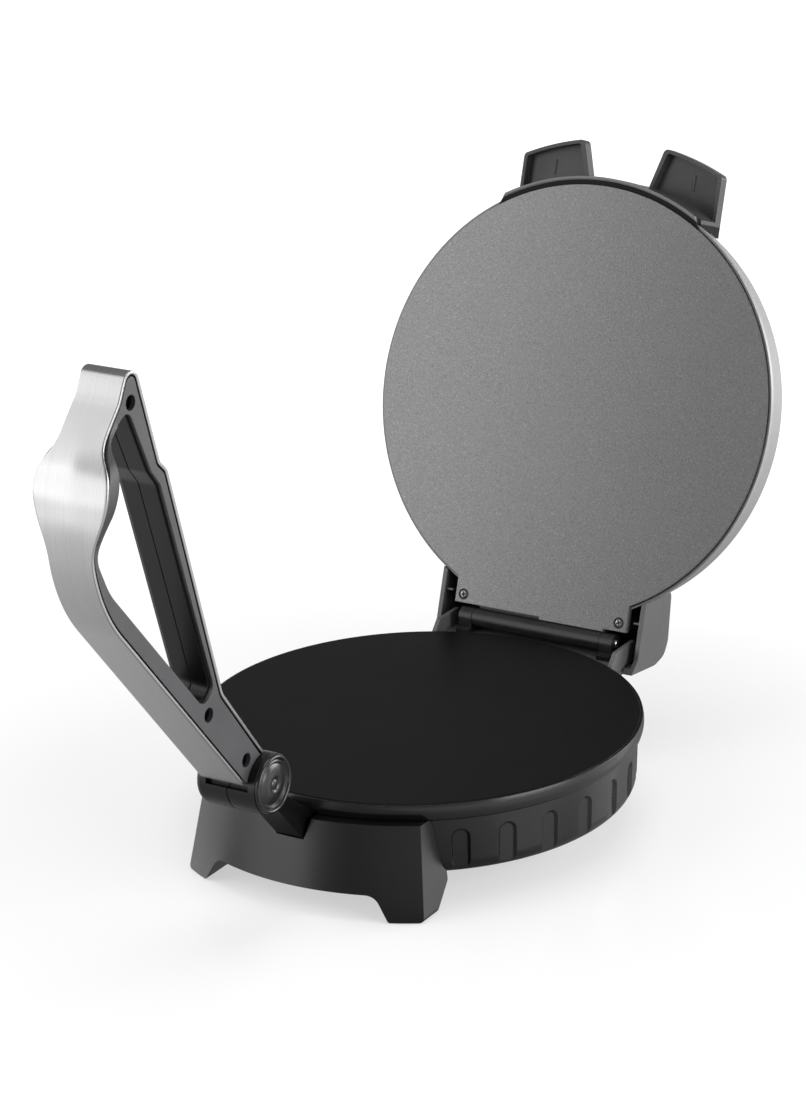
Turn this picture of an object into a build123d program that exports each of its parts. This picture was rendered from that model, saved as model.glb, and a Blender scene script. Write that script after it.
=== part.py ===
from build123d import *

import os
from math import atan2, cos, radians, sin, sqrt, tan

# Electric roti maker: a round countertop cooker with a hinged lid and a press lever.
# Millimetres, +Z up. The origin is on the cooking plate's axis at table level,
# -Y is the front with the press lever, +Y the rear with the lid hinge.
# Every moving piece is modelled closed or in its own frame and then turned to the rest pose:
# lid open on its stop, lever swung out to the front.

os.makedirs("parts", exist_ok=True)

# ---- general ----
gap = 0.3                      # air between pieces that do not touch
seat_gap = 0.15                # air round a curved seat within one body
wall = 3.0                     # moulded wall
sheet = 1.2                    # pressed steel sheet
screw_shank = 1.6              # shank radius of the small screws
screw_clear = 0.1              # air round a screw shank

# ---- cooking plate: the plan sizes of base and lid follow its radius ----
plate_radius = 127.6
plate_top = 62.4
plate_thickness = 6.4
plate_low = plate_top - plate_thickness
plate_edge_round = 0.6

# ---- base shell ----
rim_inner = plate_radius + gap
rim_radius = plate_radius + 1.0    # top edge of the rim band
rim_top = plate_top - 0.5
rim_bulge = 0.6                # how far the band swells beyond its top edge
band_low_radius = rim_radius - 0.5
band_low = rim_top - 8.9
band_step = 1.7                # height of the step from the band back to the skirt
skirt_top_radius = rim_radius - 2.9
skirt_foot_radius = rim_radius - 4.0
skirt_round = 10.0
shell_low = 16.8
shell_mouth = plate_radius - 26.6  # opening in the underside
deck_thickness = 2.6
deck_low = plate_low - 3.8 - deck_thickness
deck_top = deck_low + deck_thickness
deck_inner = plate_radius - 40.6
flute_first = 41.4             # degrees from the front
flute_step = 12.35
flutes_per_side = 9
flute_width = 7.8              # at its floor
flute_depth = 1.6
flute_flare = 46.0             # degrees that its walls lean out
flute_top = 43.7               # at its floor
flute_low = 8.0                # below the skirt, so that the flutes run out in its rounding
boss_circle = deck_inner + 7.0
boss_radius = 4.5
boss_angles = (40, 140, 220, 320)

# ---- feet ----
foot_lift = 0.6                # pads stand this far below the mouldings
pad_recess = 1.6
pad_radius = 5.2
pad_clear = 0.1
rear_foot_x = 48.0
rear_foot_y = plate_radius - 29.6
rear_foot_radius = 7.0

# ---- front cradle ----
cradle_radius = rim_radius + 19.4  # at table level
cradle_lean = 0.24             # radius lost per millimetre of height
cradle_top = band_low - 0.2
cradle_half_low = 77.4
cradle_half_high = 70.6
cradle_heel_y = cradle_radius - 36.0
cradle_back_y = cradle_heel_y - 15.0
cradle_back_z = 14.5
cradle_foot_round = 2.0
front_pad_x = cradle_half_low - 8.8
front_pad_y = cradle_heel_y + 10.0
arch_half_foot = cradle_half_low - 17.4
arch_half_top = arch_half_foot - 8.5
arch_top = 15.0
arch_round = 9.0
notch_low = 41.0
notch_half_low = 8.95
notch_half_top = 12.3

# ---- what hangs under the cooking plate ----
heater_radius = plate_radius - 49.6
heater_tube = 3.3
heater_gap = 0.1
heater_height = plate_low - 3.4
heater_lead_angle = 75.0       # degrees from +X
heater_lead_end = heater_height - 12.6
plate_ring_inner = heater_radius - 5.0
plate_ring_outer = heater_radius + 5.0
shield_radius = heater_radius + 6.6
shield_floor = heater_height - 9.0
shield_flange = heater_radius + 14.0
shield_sheet = 0.8
thermostat_radius = 8.0
thermostat_height = 7.5
plate_screw_circle = plate_radius - 19.6
plate_screw_angles = (30, 150, 270)
plate_pad_radius = 6.0

# ---- underside cover ----
cover_thickness = 2.0
vent_length = 26.0
vent_width = 4.0
vent_rows = 5
vent_step = 11.0
base_screw_length = 13.0

# ---- cord inlet ----
gland_height = 33.0
gland_flange = 9.0
gland_neck = 6.0
gland_bore = 3.6
gland_length = 13.0
gland_lip = 2.5

# ---- lid hinge ----
hinge_y = rim_radius + 10.8
hinge_z = plate_top + 2.66
open_angle = 108.93
pin_radius = 2.5
pin_clear = 0.05
barrel_radius = 5.5
barrel_half = 44.0
knuckle_half_out = barrel_half + 9.0
knuckle_radius = 5.6
tongue_half = knuckle_half_out + 6.0
tongue_reach = hinge_y - barrel_radius - 2.0
tongue_start = tongue_reach - 21.9
tower_half = tongue_half + 3.2
tower_wall = 2.6
tower_floor = plate_top - 6.0
tower_top = plate_top + 4.0
tower_rise = 5.3

# ---- lid ----
lid_gap = 1.0                  # cooking plate to closed lid plate
lid_plate_radius = plate_radius + 2.47
lid_plate_thickness = 5.0
rim_out = lid_plate_radius + 1.83
shell_seam = 1.6               # depth of the dark seam below the plate face
shell_rim_depth = 3.0
shell_side_depth = 24.0
shell_side_radius = rim_out - 3.9
shell_crown = 41.6
shell_crown_edge = 36.5
shell_crown_radius = rim_out - 27.9
upper_heater_depth = 9.6
upper_dish_radius = heater_radius + 14.0
upper_dish_depth = 20.0

# ---- lid front trim with two finger lifts ----
trim_inner = rim_out + gap
trim_outer = trim_inner + 3.0
trim_back = 12.0
trim_half_angle = 31.5
flange_inner = lid_plate_radius + gap
flange_front = 0.7
flange_sheet = 0.75
lip_inner = trim_outer - 1.5
lip_front = 0.2
lift_wall = 2.2
lift_radius = trim_outer + 24.8
lift_floor_front = 4.0
lift_front = 23.0
lift_back = 30.4
lift_side = 67.6
lift_inner_top = 27.6
lift_inner_root = 19.4
lift_root_radius = trim_outer - 3.7
lift_round = 3.0
lift_rib_half = 0.6
lift_rib_proud = 0.5
lift_rib_length = 9.0

# ---- hood over the hinge ----
hood_half = tower_half + 7.8
hood_wall = 2.8
hood_front = hinge_y - 28.0
hood_rear = hinge_y + 15.4         # outer face of the rear wall at its lower edge
hood_roof = 31.7                   # depth of its front top edge behind the plate face
hood_heel = 5.6                    # how far the cheeks' rear corners reach past the plate face
hood_sweep = 1.2                   # air between the hood's rear wall and the tower
tower_reach = hood_rear - hood_wall - hinge_y - hood_sweep
hood_screw_x = tongue_half - 5.25
hood_screw_y = tongue_reach - 5.1
hood_boss = 4.2
hood_boss_depth = 34.0
leaf_thickness = 2.5
leaf_half = tongue_half - 1.0
leaf_front = tongue_reach - 12.9

# ---- press lever ----
pivot_y = -rim_radius - 49.9
pivot_z = rim_top + 30.05
lever_rest_angle = 111.23
lever_reach = 274.0            # pivot to the inside of the band's tip
lever_scale = lever_reach / 274.0  # the lever's outlines are drawn for a reach of 274
lever_half = 13.5
band_sheet = 2.0
palm_half = 22.6
cover_sheet = 3.0
cover_inset = 0.9              # seam between band and side cover
cover_recess = 0.5             # covers lie this far inside the band's edges
parting = 0.15                 # half of the seam between the core's halves
core_gap = 0.2
lever_barrel_radius = 16.9
lever_barrel_half = lever_half + 4.1
slot_low, slot_high = 167.0, 178.0    # degrees of the slot under the band's end, about the pivot
slot_depth = 3.0
cap_radius = lever_barrel_radius - 0.5
cap_thickness = 2.4
cap_socket = cap_radius - 4.5
cap_socket_depth = 3.0
hub_radius = lever_barrel_radius - 5.4
hub_half = 8.65
pivot_pin_radius = 4.0
lever_screw_drawn = ((261.3, -4.9), (70.1, -23.9), (23.4, -7.9))
lever_screw_places = [(u * lever_scale, v * lever_scale) for u, v in lever_screw_drawn]
lever_screw_recess = 4.0
lever_screw_head = 3.6

BASE = (Align.CENTER, Align.CENTER, Align.MIN)


# ---- small helpers ----
def disc(radius, low, high):
    return Pos(0, 0, low) * Cylinder(radius, high - low, align=BASE)


def ring(inner, outer, low, high):
    return disc(outer, low, high) - disc(inner, low - 1, high + 1)


def block(x_low, x_high, y_low, y_high, z_low, z_high):
    size = (x_high - x_low, y_high - y_low, z_high - z_low)
    return Pos(x_low, y_low, z_low) * Box(*size, align=(Align.MIN, Align.MIN, Align.MIN))


def rod_x(radius, x_low, x_high, y, z):
    turned = Rot(0, 90, 0) * Cylinder(radius, x_high - x_low, align=BASE)
    return Pos(x_low, y, z) * turned


def outline(corners):
    """Face through (x, y, radius) corners in the XY plane, each corner rounded to its radius."""
    points = [(x, y) for x, y, _ in corners]
    rounds = [r for _, _, r in corners]
    return make_face(FilletPolyline(*points, radius=rounds, close=True))


def side_prism(corners, half_width):
    """Prism of a (y, z, radius) outline, reaching half_width to both sides of x = 0."""
    return extrude(Plane.YZ * outline(corners), amount=half_width, both=True)


def polar(radius, angle):
    return radius * cos(radians(angle)), radius * sin(radians(angle))


def mirrored(shape):
    return shape.mirror(Plane.YZ)


def save(shape, name):
    export_step(shape, "parts/" + name + ".step")


# ---- base ----
def shell_envelope(extra):
    """Everything inside the base shell's outer skin, grown by extra."""
    foot_radius = skirt_foot_radius + extra
    centre_r = foot_radius - skirt_round
    low = shell_low - extra
    centre_z = low + skirt_round
    line = Line((0, low), (centre_r, low))
    line += CenterArc((centre_r, centre_z), skirt_round, -90, 90)
    line += Line((foot_radius, centre_z), (skirt_top_radius + extra, band_low - band_step - extra))
    line += Line(line @ 1, (band_low_radius + extra, band_low - extra))
    bulge = (rim_radius + rim_bulge + extra, (band_low + rim_top) / 2)
    line += ThreePointArc(line @ 1, bulge, (rim_radius + extra, rim_top))
    line += Line(line @ 1, (0, rim_top))
    line += Line(line @ 1, (0, low))
    return revolve(Plane.XZ * make_face(line), Axis.Z)


def shell_hollow():
    """The space inside the base shell, one wall in from its skin."""
    inner_foot = skirt_foot_radius - wall
    inner_low = shell_low + wall
    line = Line((0, inner_low), (inner_foot - skirt_round, inner_low))
    line += CenterArc((inner_foot - skirt_round, inner_low + skirt_round), skirt_round, -90, 90)
    line += Line(line @ 1, (skirt_top_radius - wall, rim_top + 1))
    line += Line(line @ 1, (0, rim_top + 1))
    line += Line(line @ 1, (0, inner_low))
    return revolve(Plane.XZ * make_face(line), Axis.Z)


def flute_cutter():
    """Round-ended groove with leaning walls on the front of the skirt, before it is turned to its place."""
    height = flute_top - flute_low
    skirt_lean = atan2(skirt_top_radius - skirt_foot_radius, band_low - shell_low - skirt_round)
    middle = (flute_top + flute_low) / 2
    radius = skirt_foot_radius + (middle - shell_low - skirt_round) * tan(skirt_lean)
    floor = Plane(
        origin=(0, flute_depth - radius, middle),
        x_dir=(1, 0, 0),
        z_dir=(0, -cos(skirt_lean), -sin(skirt_lean)),
    )
    return extrude(floor * SlotOverall(height, flute_width, rotation=90), amount=flute_depth * 3, taper=-flute_flare)


def flute_angles():
    one_side = [flute_first + flute_step * k for k in range(flutes_per_side)]
    return one_side + [-angle for angle in one_side]


def rear_feet():
    places = ((rear_foot_x, rear_foot_y), (-rear_foot_x, rear_foot_y))
    return [Pos(x, y, 0) * disc(rear_foot_radius, foot_lift, shell_low + wall) for x, y in places]


def base_housing():
    body = shell_envelope(0) - shell_hollow() - disc(shell_mouth, 0, shell_low + wall + 1)
    body -= disc(rim_inner, plate_low - gap, rim_top + 1)
    body += ring(deck_inner, skirt_top_radius - wall + 1, deck_low, deck_top)
    for angle in boss_angles:
        x, y = polar(boss_circle, angle)
        body += Pos(x, y, 0) * disc(boss_radius, shell_low + cover_thickness, deck_low)
        body -= Pos(x, y, 0) * disc(screw_shank, shell_low, shell_low + base_screw_length + 1)
    for angle in plate_screw_angles:
        x, y = polar(plate_screw_circle, angle)
        body -= Pos(x, y, 0) * disc(screw_shank + 0.5, deck_low - 1, rim_top)
    cutter = flute_cutter()
    for angle in flute_angles():
        body -= Rot(0, 0, angle) * cutter
    for foot in rear_feet():
        body += foot
    for x in (rear_foot_x, -rear_foot_x):
        body -= Pos(x, rear_foot_y, 0) * disc(pad_radius + pad_clear, 0, foot_lift + pad_recess)
    inlet = Pos(0, skirt_top_radius - wall * 2, gland_height) * Rot(-90, 0, 0)
    body -= inlet * Cylinder(gland_neck + pad_clear, wall * 4, align=BASE)
    return body


def front_outline(inset):
    """Front elevation of the cradle: leaning ends, the arch between the feet, the arm's notch."""
    half_low = cradle_half_low - inset
    half_high = cradle_half_high - inset
    top = cradle_top - inset
    right = [
        (notch_half_top + inset, top, 0),
        (half_high, top, 0),
        (half_low, foot_lift, cradle_foot_round if inset == 0 else 0),
        (arch_half_foot + inset, foot_lift, cradle_foot_round if inset == 0 else 0),
        (arch_half_top + inset, arch_top + inset, arch_round),
    ]
    left = [(-x, z, r) for x, z, r in reversed(right)]
    floor = [(-notch_half_low - inset, notch_low - inset, 0), (notch_half_low + inset, notch_low - inset, 0)]
    return outline(floor + right + left)


def cradle_block(inset):
    """Cradle volume before it is fitted to the shell, with all walls moved in by inset."""
    face = Plane.XZ * front_outline(inset)
    body = extrude(face, amount=cradle_radius + 5)
    cone = Cone(
        cradle_radius - inset, cradle_radius - inset - cradle_lean * cradle_top, cradle_top, align=BASE
    )
    heel = cradle_heel_y + inset
    back = cradle_back_y + inset
    side = [
        (-cradle_radius - 9, -1, 0),
        (-heel, -1, 0),
        (-heel, foot_lift, 0),
        (-back, cradle_back_z, 4.0),
        (-back, cradle_top + 1, 0),
        (-cradle_radius - 9, cradle_top + 1, 0),
    ]
    return body & cone & side_prism(side, cradle_radius)


def front_pad_places():
    return ((front_pad_x, -front_pad_y), (-front_pad_x, -front_pad_y))


def front_cradle():
    body = cradle_block(0)
    cavity = cradle_block(wall) & block(-200, 200, -200, 0, foot_lift + wall + 1, cradle_top)
    body -= cavity
    body -= shell_envelope(seat_gap)
    body -= disc(skirt_foot_radius - skirt_round, 0, shell_low)
    for x, y in front_pad_places():
        body -= Pos(x, y, 0) * disc(pad_radius + pad_clear, 0, foot_lift + pad_recess)
    return body


def foot_pad(x, y):
    return Pos(x, y, 0) * disc(pad_radius, 0, foot_lift + pad_recess)


def cooking_plate():
    plate = disc(plate_radius, plate_low, plate_top)
    plate = fillet(plate.edges().sort_by(Axis.Z)[-1], plate_edge_round)
    plate += ring(plate_ring_inner, plate_ring_outer, heater_height, plate_low)
    plate -= Pos(0, 0, heater_height) * Torus(heater_radius, heater_tube + heater_gap)
    for angle in plate_screw_angles:
        x, y = polar(plate_screw_circle, angle)
        plate += Pos(x, y, 0) * disc(plate_pad_radius, deck_top, plate_low)
        plate -= Pos(x, y, 0) * disc(screw_shank, deck_low, plate_low + 2)
    return plate


def heater(radius, height, lead_angle, lead_end):
    """Tubular heating ring with two straight leads, seen from its own axis."""
    tube = Plane.XZ * (Pos(radius, height) * Circle(heater_tube))
    sweep_angle = 360 - 2 * (90 - lead_angle)
    start = 90 + (90 - lead_angle)
    body = Rot(0, 0, start) * revolve(tube, Axis.Z, sweep_angle)
    for angle in (lead_angle, 180 - lead_angle):
        x, y = polar(radius, angle)
        low, high = sorted((height, lead_end))
        body += Pos(x, y, height) * Sphere(heater_tube)
        body += Pos(x, y, 0) * disc(heater_tube, low, high)
    return body


def lead_places(radius):
    return [polar(radius, angle) for angle in (heater_lead_angle, 180 - heater_lead_angle)]


def heat_shield():
    body = disc(shield_radius + shield_sheet, shield_floor, deck_top)
    body -= disc(shield_radius, shield_floor + shield_sheet, deck_top + 1)
    body += ring(shield_radius, shield_flange, deck_top, deck_top + shield_sheet)
    body -= disc(thermostat_radius + 6, shield_floor - 1, shield_floor + 2)
    for x, y in lead_places(heater_radius):
        body -= Pos(x, y, 0) * disc(heater_tube + 1.2, shield_floor - 1, shield_floor + 2)
    return body


def thermostat():
    body = disc(thermostat_radius, plate_low - thermostat_height, plate_low)
    body += ring(0.01, thermostat_radius + 2.4, plate_low - 1.2, plate_low)
    for x in (-3.0, 3.0):
        body += block(x - 0.4, x + 0.4, -2.4, 2.4, plate_low - thermostat_height - 8, plate_low - 2)
    return body


def cap_screw(head_radius, head_height, shank_radius, length):
    """Pan-head screw pointing up +Z, its head's seat at z = 0."""
    head = Pos(0, 0, -head_height) * Cylinder(head_radius, head_height, align=BASE)
    head = fillet(head.edges().sort_by(Axis.Z)[0], head_height * 0.45)
    head -= Pos(0, 0, -head_height - 0.01) * Box(head_radius * 1.1, 0.9, 1.8, align=BASE)
    head -= Pos(0, 0, -head_height - 0.01) * Box(0.9, head_radius * 1.1, 1.8, align=BASE)
    return head + Cylinder(shank_radius, length, align=BASE)


def plate_screw(angle):
    x, y = polar(plate_screw_circle, angle)
    screw = cap_screw(3.4, 2.4, screw_shank - screw_clear, plate_low + 1.2 - deck_low)
    return Pos(x, y, deck_low) * screw


def bottom_cover():
    body = disc(shell_mouth - gap, shell_low, shell_low + cover_thickness)
    for row in range(vent_rows):
        y = (row - (vent_rows - 1) / 2) * vent_step
        for x in (-30, 30):
            slot = Pos(x, y) * SlotOverall(vent_length, vent_width)
            body -= Pos(0, 0, shell_low - 1) * extrude(slot, amount=cover_thickness + 2)
    for angle in boss_angles:
        x, y = polar(boss_circle, angle)
        body -= Pos(x, y, 0) * disc(screw_shank + 0.3, shell_low - 1, shell_low + 4)
    return body


def base_screw(angle):
    x, y = polar(boss_circle, angle)
    return Pos(x, y, shell_low) * cap_screw(3.4, 2.2, screw_shank - screw_clear, base_screw_length)


def cord_gland():
    """Grommet in the rear wall with the cord's bore along Y."""
    outer_face = skirt_top_radius + 0.2
    inner_end = outer_face + gland_lip - gland_length
    body = Cylinder(gland_neck, gland_length, align=BASE)
    body += Pos(0, 0, gland_length - gland_lip) * Cylinder(gland_flange, gland_lip, align=BASE)
    body = fillet(body.edges().sort_by(Axis.Z)[-1], 1.0)
    body -= Pos(0, 0, -1) * Cylinder(gland_bore, gland_length + 2, align=BASE)
    return Pos(0, inner_end, gland_height) * Rot(-90, 0, 0) * body


def tower_outline():
    """Side elevation of the rear hinge tower, its rear swept round the hinge."""
    low_angle, high_angle = radians(-118), radians(-22)
    tail = (hinge_y + tower_reach * cos(low_angle), hinge_z + tower_reach * sin(low_angle))
    back = (hinge_y + tower_reach * cos(high_angle), hinge_z + tower_reach * sin(high_angle))
    under = (hinge_y + tower_reach * 0.37, hinge_z - tower_reach * 0.93)
    foot = (skirt_top_radius - 21.7, band_low - 7.7 - tower_rise)
    rise = (skirt_top_radius - 21.7, band_low - 7.7)
    crest = (hinge_y - 16.2, tower_top)
    ledge = (hinge_y + 6.6, tower_top)
    line = Polyline(foot, rise, crest, ledge, back)
    line += ThreePointArc(back, under, tail)
    line += Polyline(tail, (hinge_y - 17.4, foot[1]), foot)
    return make_face(line)


def hinge_tower():
    body = extrude(Plane.YZ * tower_outline(), amount=tower_half, both=True)
    inner = tower_half - tower_wall
    trough = block(-inner, inner, hinge_y - 50, hinge_y + 30, tower_floor, tower_top + 1)
    body -= trough
    body -= shell_envelope(seat_gap) + disc(rim_radius + seat_gap, rim_top - 1, tower_top + 1)
    for side in (-1, 1):
        x = side * (barrel_half + knuckle_half_out) / 2
        body -= Pos(x, hinge_y - 5.0, 0) * disc(screw_shank, tower_floor - 3.5, tower_floor + 1)
    return body


def hinge_bracket():
    """Right-hand knuckle that stands on the tower's floor and holds the pin."""
    low_x = barrel_half + gap
    height = hinge_z - tower_floor
    body = rod_x(knuckle_radius, low_x, knuckle_half_out, hinge_y, hinge_z)
    body += block(
        low_x, knuckle_half_out, hinge_y - knuckle_radius, hinge_y + 3.0, tower_floor, hinge_z
    )
    body += block(
        low_x, knuckle_half_out, hinge_y - 9.0, hinge_y - knuckle_radius, tower_floor, tower_floor + height * 0.35
    )
    body -= rod_x(pin_radius + 0.02, low_x - 1, knuckle_half_out + 1, hinge_y, hinge_z)
    return body


def hinge_pin():
    end = knuckle_half_out + 1.4
    pin = rod_x(pin_radius, -end, end, hinge_y, hinge_z)
    return chamfer(pin.edges().filter_by(GeomType.CIRCLE), 0.5)


def pivot_bracket():
    """Front arm from the base up to the lever's pivot."""
    back = -rim_radius + 10.6
    arm = [
        (back, deck_low - 2.6, 0),
        (back, deck_low + 0.8, 0),
        (-rim_radius + 1.3, rim_top - 5.8, 4.0),
        (-rim_radius - 11.4, rim_top + 1.1, 4.0),
        (pivot_y + 8.0, pivot_z - 3.0, 0),
        (pivot_y - 2.0, pivot_z - 8.0, 0),
        (pivot_y + 18.0, pivot_z - 25.0, 3.0),
        (-rim_radius - 9.0, notch_low + gap, 0),
        (back, notch_low + gap, 0),
    ]
    body = side_prism(arm, hub_half)
    body += rod_x(hub_radius, -hub_half, hub_half, pivot_y, pivot_z)
    body -= rod_x(pivot_pin_radius + 0.02, -hub_half - 1, hub_half + 1, pivot_y, pivot_z)
    return body - shell_envelope(seat_gap) - disc(plate_radius + gap, rim_top - 1, plate_top + 1)


def pivot_pin():
    end = lever_barrel_half - cap_socket_depth - gap
    pin = rod_x(pivot_pin_radius, -end, end, pivot_y, pivot_z)
    return chamfer(pin.edges().filter_by(GeomType.CIRCLE), 0.6)


# ---- lid, modelled closed ----
lid_face = plate_top + lid_gap


def depth(value):
    """Height of a point that far behind the closed lid's cooking face."""
    return lid_face + value


def lid_plate():
    body = disc(lid_plate_radius, lid_face, depth(lid_plate_thickness))
    tongue = block(
        -tongue_half, tongue_half, tongue_start, tongue_reach, lid_face, depth(lid_plate_thickness)
    )
    body += tongue
    body += block(
        gap, barrel_half - gap, tongue_reach - 1.0, hinge_y - barrel_radius - gap, lid_face, depth(3.6)
    )
    for side in (-1, 1):
        hole = disc(screw_shank + 0.2, lid_face - 1, depth(lid_plate_thickness + 1))
        seat = disc(3.0, lid_face - 1, depth(1.4))
        body -= Pos(side * hood_screw_x, hood_screw_y, 0) * (hole + seat)
    heater_top = depth(upper_heater_depth)
    body += ring(plate_ring_inner, plate_ring_outer, depth(lid_plate_thickness), heater_top)
    body -= Pos(0, 0, heater_top) * Torus(heater_radius, heater_tube + heater_gap)
    return body


def upper_heater():
    lead_end = depth(upper_dish_depth + 6)
    return heater(heater_radius, depth(upper_heater_depth), heater_lead_angle, lead_end)


def upper_dish():
    """Pressed dish that covers the heating ring, resting on the back of the lid plate."""
    low, top = depth(lid_plate_thickness), depth(upper_dish_depth)
    body = disc(upper_dish_radius, low, top)
    body = fillet(body.edges().sort_by(Axis.Z)[-1], 6.0)
    inner = disc(upper_dish_radius - shield_sheet, low - 1, top - shield_sheet)
    inner = fillet(inner.edges().sort_by(Axis.Z)[-1], 5.2)
    body -= inner
    body += ring(upper_dish_radius - shield_sheet, upper_dish_radius + 7, low, low + shield_sheet)
    for x, y in lead_places(heater_radius):
        body -= Pos(x, y, 0) * disc(heater_tube + 1.2, top - 8, top + 1)
    return body


def shell_line(inset):
    """Closed half profile of the lid shell's outside, moved in by inset."""
    rim = (rim_out - inset, depth(shell_seam))
    rim_back = (rim_out - inset, depth(shell_seam + shell_rim_depth))
    side = (shell_side_radius - inset, depth(shell_side_depth))
    crown_edge = (shell_crown_radius, depth(shell_crown_edge) - inset)
    crown = (0, depth(shell_crown) - inset)
    line = Line((0, depth(shell_seam)), rim)
    line += Line(rim, rim_back)
    line += Line(rim_back, side)
    line += Spline(side, crown_edge, crown, tangents=((-0.16, 1), (-1, 0)))
    line += Line(crown, (0, depth(shell_seam)))
    return line


def shell_solid(inset):
    return revolve(Plane.XZ * make_face(shell_line(inset)), Axis.Z)


def lid_shell():
    body = shell_solid(0) - shell_solid(sheet)
    cut = block(
        -tongue_half - gap, tongue_half + gap, tongue_start, rim_out + 8, lid_face, depth(lid_plate_thickness + 4)
    )
    return body - cut


def trim_ring():
    """Arc round the lid's front: a body round the shell, a flange over its rim and a raised outer lip."""
    body = ring(trim_inner, trim_outer, depth(flange_front), depth(trim_back))
    body += ring(flange_inner, trim_outer, depth(flange_front), depth(flange_front + flange_sheet))
    body += ring(lip_inner, trim_outer, depth(lip_front), depth(flange_front))
    reach = trim_outer + 20
    inner = polar(flange_inner, trim_half_angle - 90)
    outer = polar(trim_outer, trim_half_angle - 93)
    corner = (outer[0] * 1.2, outer[1] * 1.2)
    right = [inner, outer, corner, (corner[0], -reach * 1.3)]
    left = [(-x, y) for x, y in reversed(right)]
    wedge = make_face(Polyline((0, 0), *right, *left, close=True))
    return body & (Pos(0, 0, lid_face) * extrude(wedge, amount=shell_crown))


def lift_outline(inset):
    """Plan outline of the right-hand finger lift."""
    outer = lift_radius - inset
    root = lift_root_radius
    side = lift_side - inset
    inner_top = lift_inner_top + inset
    inner_root = lift_inner_root + inset
    start = (inner_root, -sqrt(root**2 - inner_root**2))
    inner = (inner_top, -sqrt(outer**2 - inner_top**2))
    outer_corner = (side, -sqrt(outer**2 - side**2))
    middle_x = (inner_top + side) / 2
    middle = (middle_x, -sqrt(outer**2 - middle_x**2))
    end = (side, -sqrt(root**2 - side**2))
    line = Line(start, inner)
    line += ThreePointArc(inner, middle, outer_corner)
    line += Line(outer_corner, end)
    line += Line(end, start)
    return make_face(line)


def finger_lift():
    """Right-hand lift: a ledge on the trim and a shallow dish standing on its back edge."""
    height = lift_back - lift_front
    outside = extrude(lift_outline(0), amount=height)
    corners = outside.edges().filter_by(Axis.Z).sort_by(Axis.Y)[:2]
    dish = Pos(0, 0, depth(lift_front)) * fillet(corners, lift_round)
    inside = extrude(lift_outline(lift_wall), amount=height)
    inner_corners = inside.edges().filter_by(Axis.Z).sort_by(Axis.Y)[:2]
    dish -= Pos(0, 0, depth(lift_front) - lift_wall) * fillet(inner_corners, lift_round - 1)
    middle_x = (lift_inner_top + lift_side) / 2
    rib_y = lift_rib_length - sqrt(lift_radius**2 - middle_x**2)
    panel = depth(lift_back - lift_wall)
    dish += block(
        middle_x - lift_rib_half, middle_x + lift_rib_half, rib_y, rib_y + lift_rib_length, panel - lift_rib_proud, panel
    )
    ledge = ring(lift_root_radius - 4, trim_outer, depth(lift_floor_front), depth(lift_back))
    ledge &= block(lift_inner_root, lift_side, -lift_radius, 0, depth(0), depth(lift_back))
    return dish + ledge


def lid_front_trim():
    lift = finger_lift()
    body = trim_ring() + lift + mirrored(lift)
    return body - shell_solid(-seat_gap) - disc(flange_inner, 0, depth(trim_back))


def hood_corners(inset):
    """Side elevation of the hood, or of its hollow, which is open below."""
    heel = lid_face - hood_heel
    front_low = lid_face if inset == 0 else heel - 1
    rear_low = heel if inset == 0 else heel - 1
    corners = [(hood_front + inset, front_low, 0)]
    corners += [
        (hood_front - 7.8 + inset, depth(hood_roof + 0.3) - inset, 5.0),
        (hinge_y - 4.7 - inset * 0.3, depth(hood_roof + 5.0) - inset, 10.0),
        (hinge_y + 4.5 - inset, depth(hood_roof + 2.5) - inset, 9.0),
        (hinge_y + 10.4 - inset, depth(24.0), 14.0),
        (hood_rear + 1.0 - inset, rear_low, 0),
    ]
    if inset == 0:
        corners.append((hinge_y + 8.0, lid_face, 3.0))
    return corners


def lid_hood():
    """Black cover round the hinge: two cheeks, a rear wall and a roof, open below."""
    inner_half = hood_half - hood_wall
    body = side_prism(hood_corners(0), hood_half)
    body -= side_prism(hood_corners(hood_wall), inner_half)
    low = depth(lid_plate_thickness + leaf_thickness)
    for side in (-1, 1):
        place = Pos(side * hood_screw_x, hood_screw_y, 0)
        body += place * disc(hood_boss, low, depth(hood_boss_depth))
        body -= place * disc(screw_shank, low - 1, low + 16)
    rib_y = hinge_y - 14.0
    for edge in sorted((-inner_half, inner_half)):
        tip = edge * (inner_half - 4.5) / inner_half
        body += block(min(edge, tip), max(edge, tip), rib_y - 0.6, rib_y + 0.6, depth(2.0), depth(12.0))
    body -= shell_solid(-seat_gap)
    body -= disc(rim_out + seat_gap, 0, depth(shell_seam))
    clear = tower_half + 1
    return body - block(-clear, clear, hinge_y, hinge_y + 22, 0, depth(2.0))


def hinge_leaf():
    """Steel leaf on the back of the tongue with the barrel that turns on the pin."""
    low = depth(lid_plate_thickness)
    top = low + leaf_thickness
    body = block(-leaf_half, leaf_half, leaf_front, tongue_reach - 1, low, top)
    body += block(-barrel_half, barrel_half, tongue_reach - 2, hinge_y + 2.5, low, top)
    body += block(-barrel_half, barrel_half, hinge_y - 2.5, hinge_y + 2.5, hinge_z, top)
    body += rod_x(barrel_radius, -barrel_half, barrel_half, hinge_y, hinge_z)
    body -= rod_x(pin_radius + pin_clear, -barrel_half - 1, barrel_half + 1, hinge_y, hinge_z)
    for side in (-1, 1):
        hole = disc(screw_shank + 0.2, low - 1, top + 1)
        body -= Pos(side * hood_screw_x, hood_screw_y, 0) * hole
    return body - shell_solid(seat_gap)


def lid_screw(side):
    screw = cap_screw(2.7, 1.3, screw_shank - screw_clear, 18)
    return Pos(side * hood_screw_x, hood_screw_y, depth(1.4)) * screw


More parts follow.
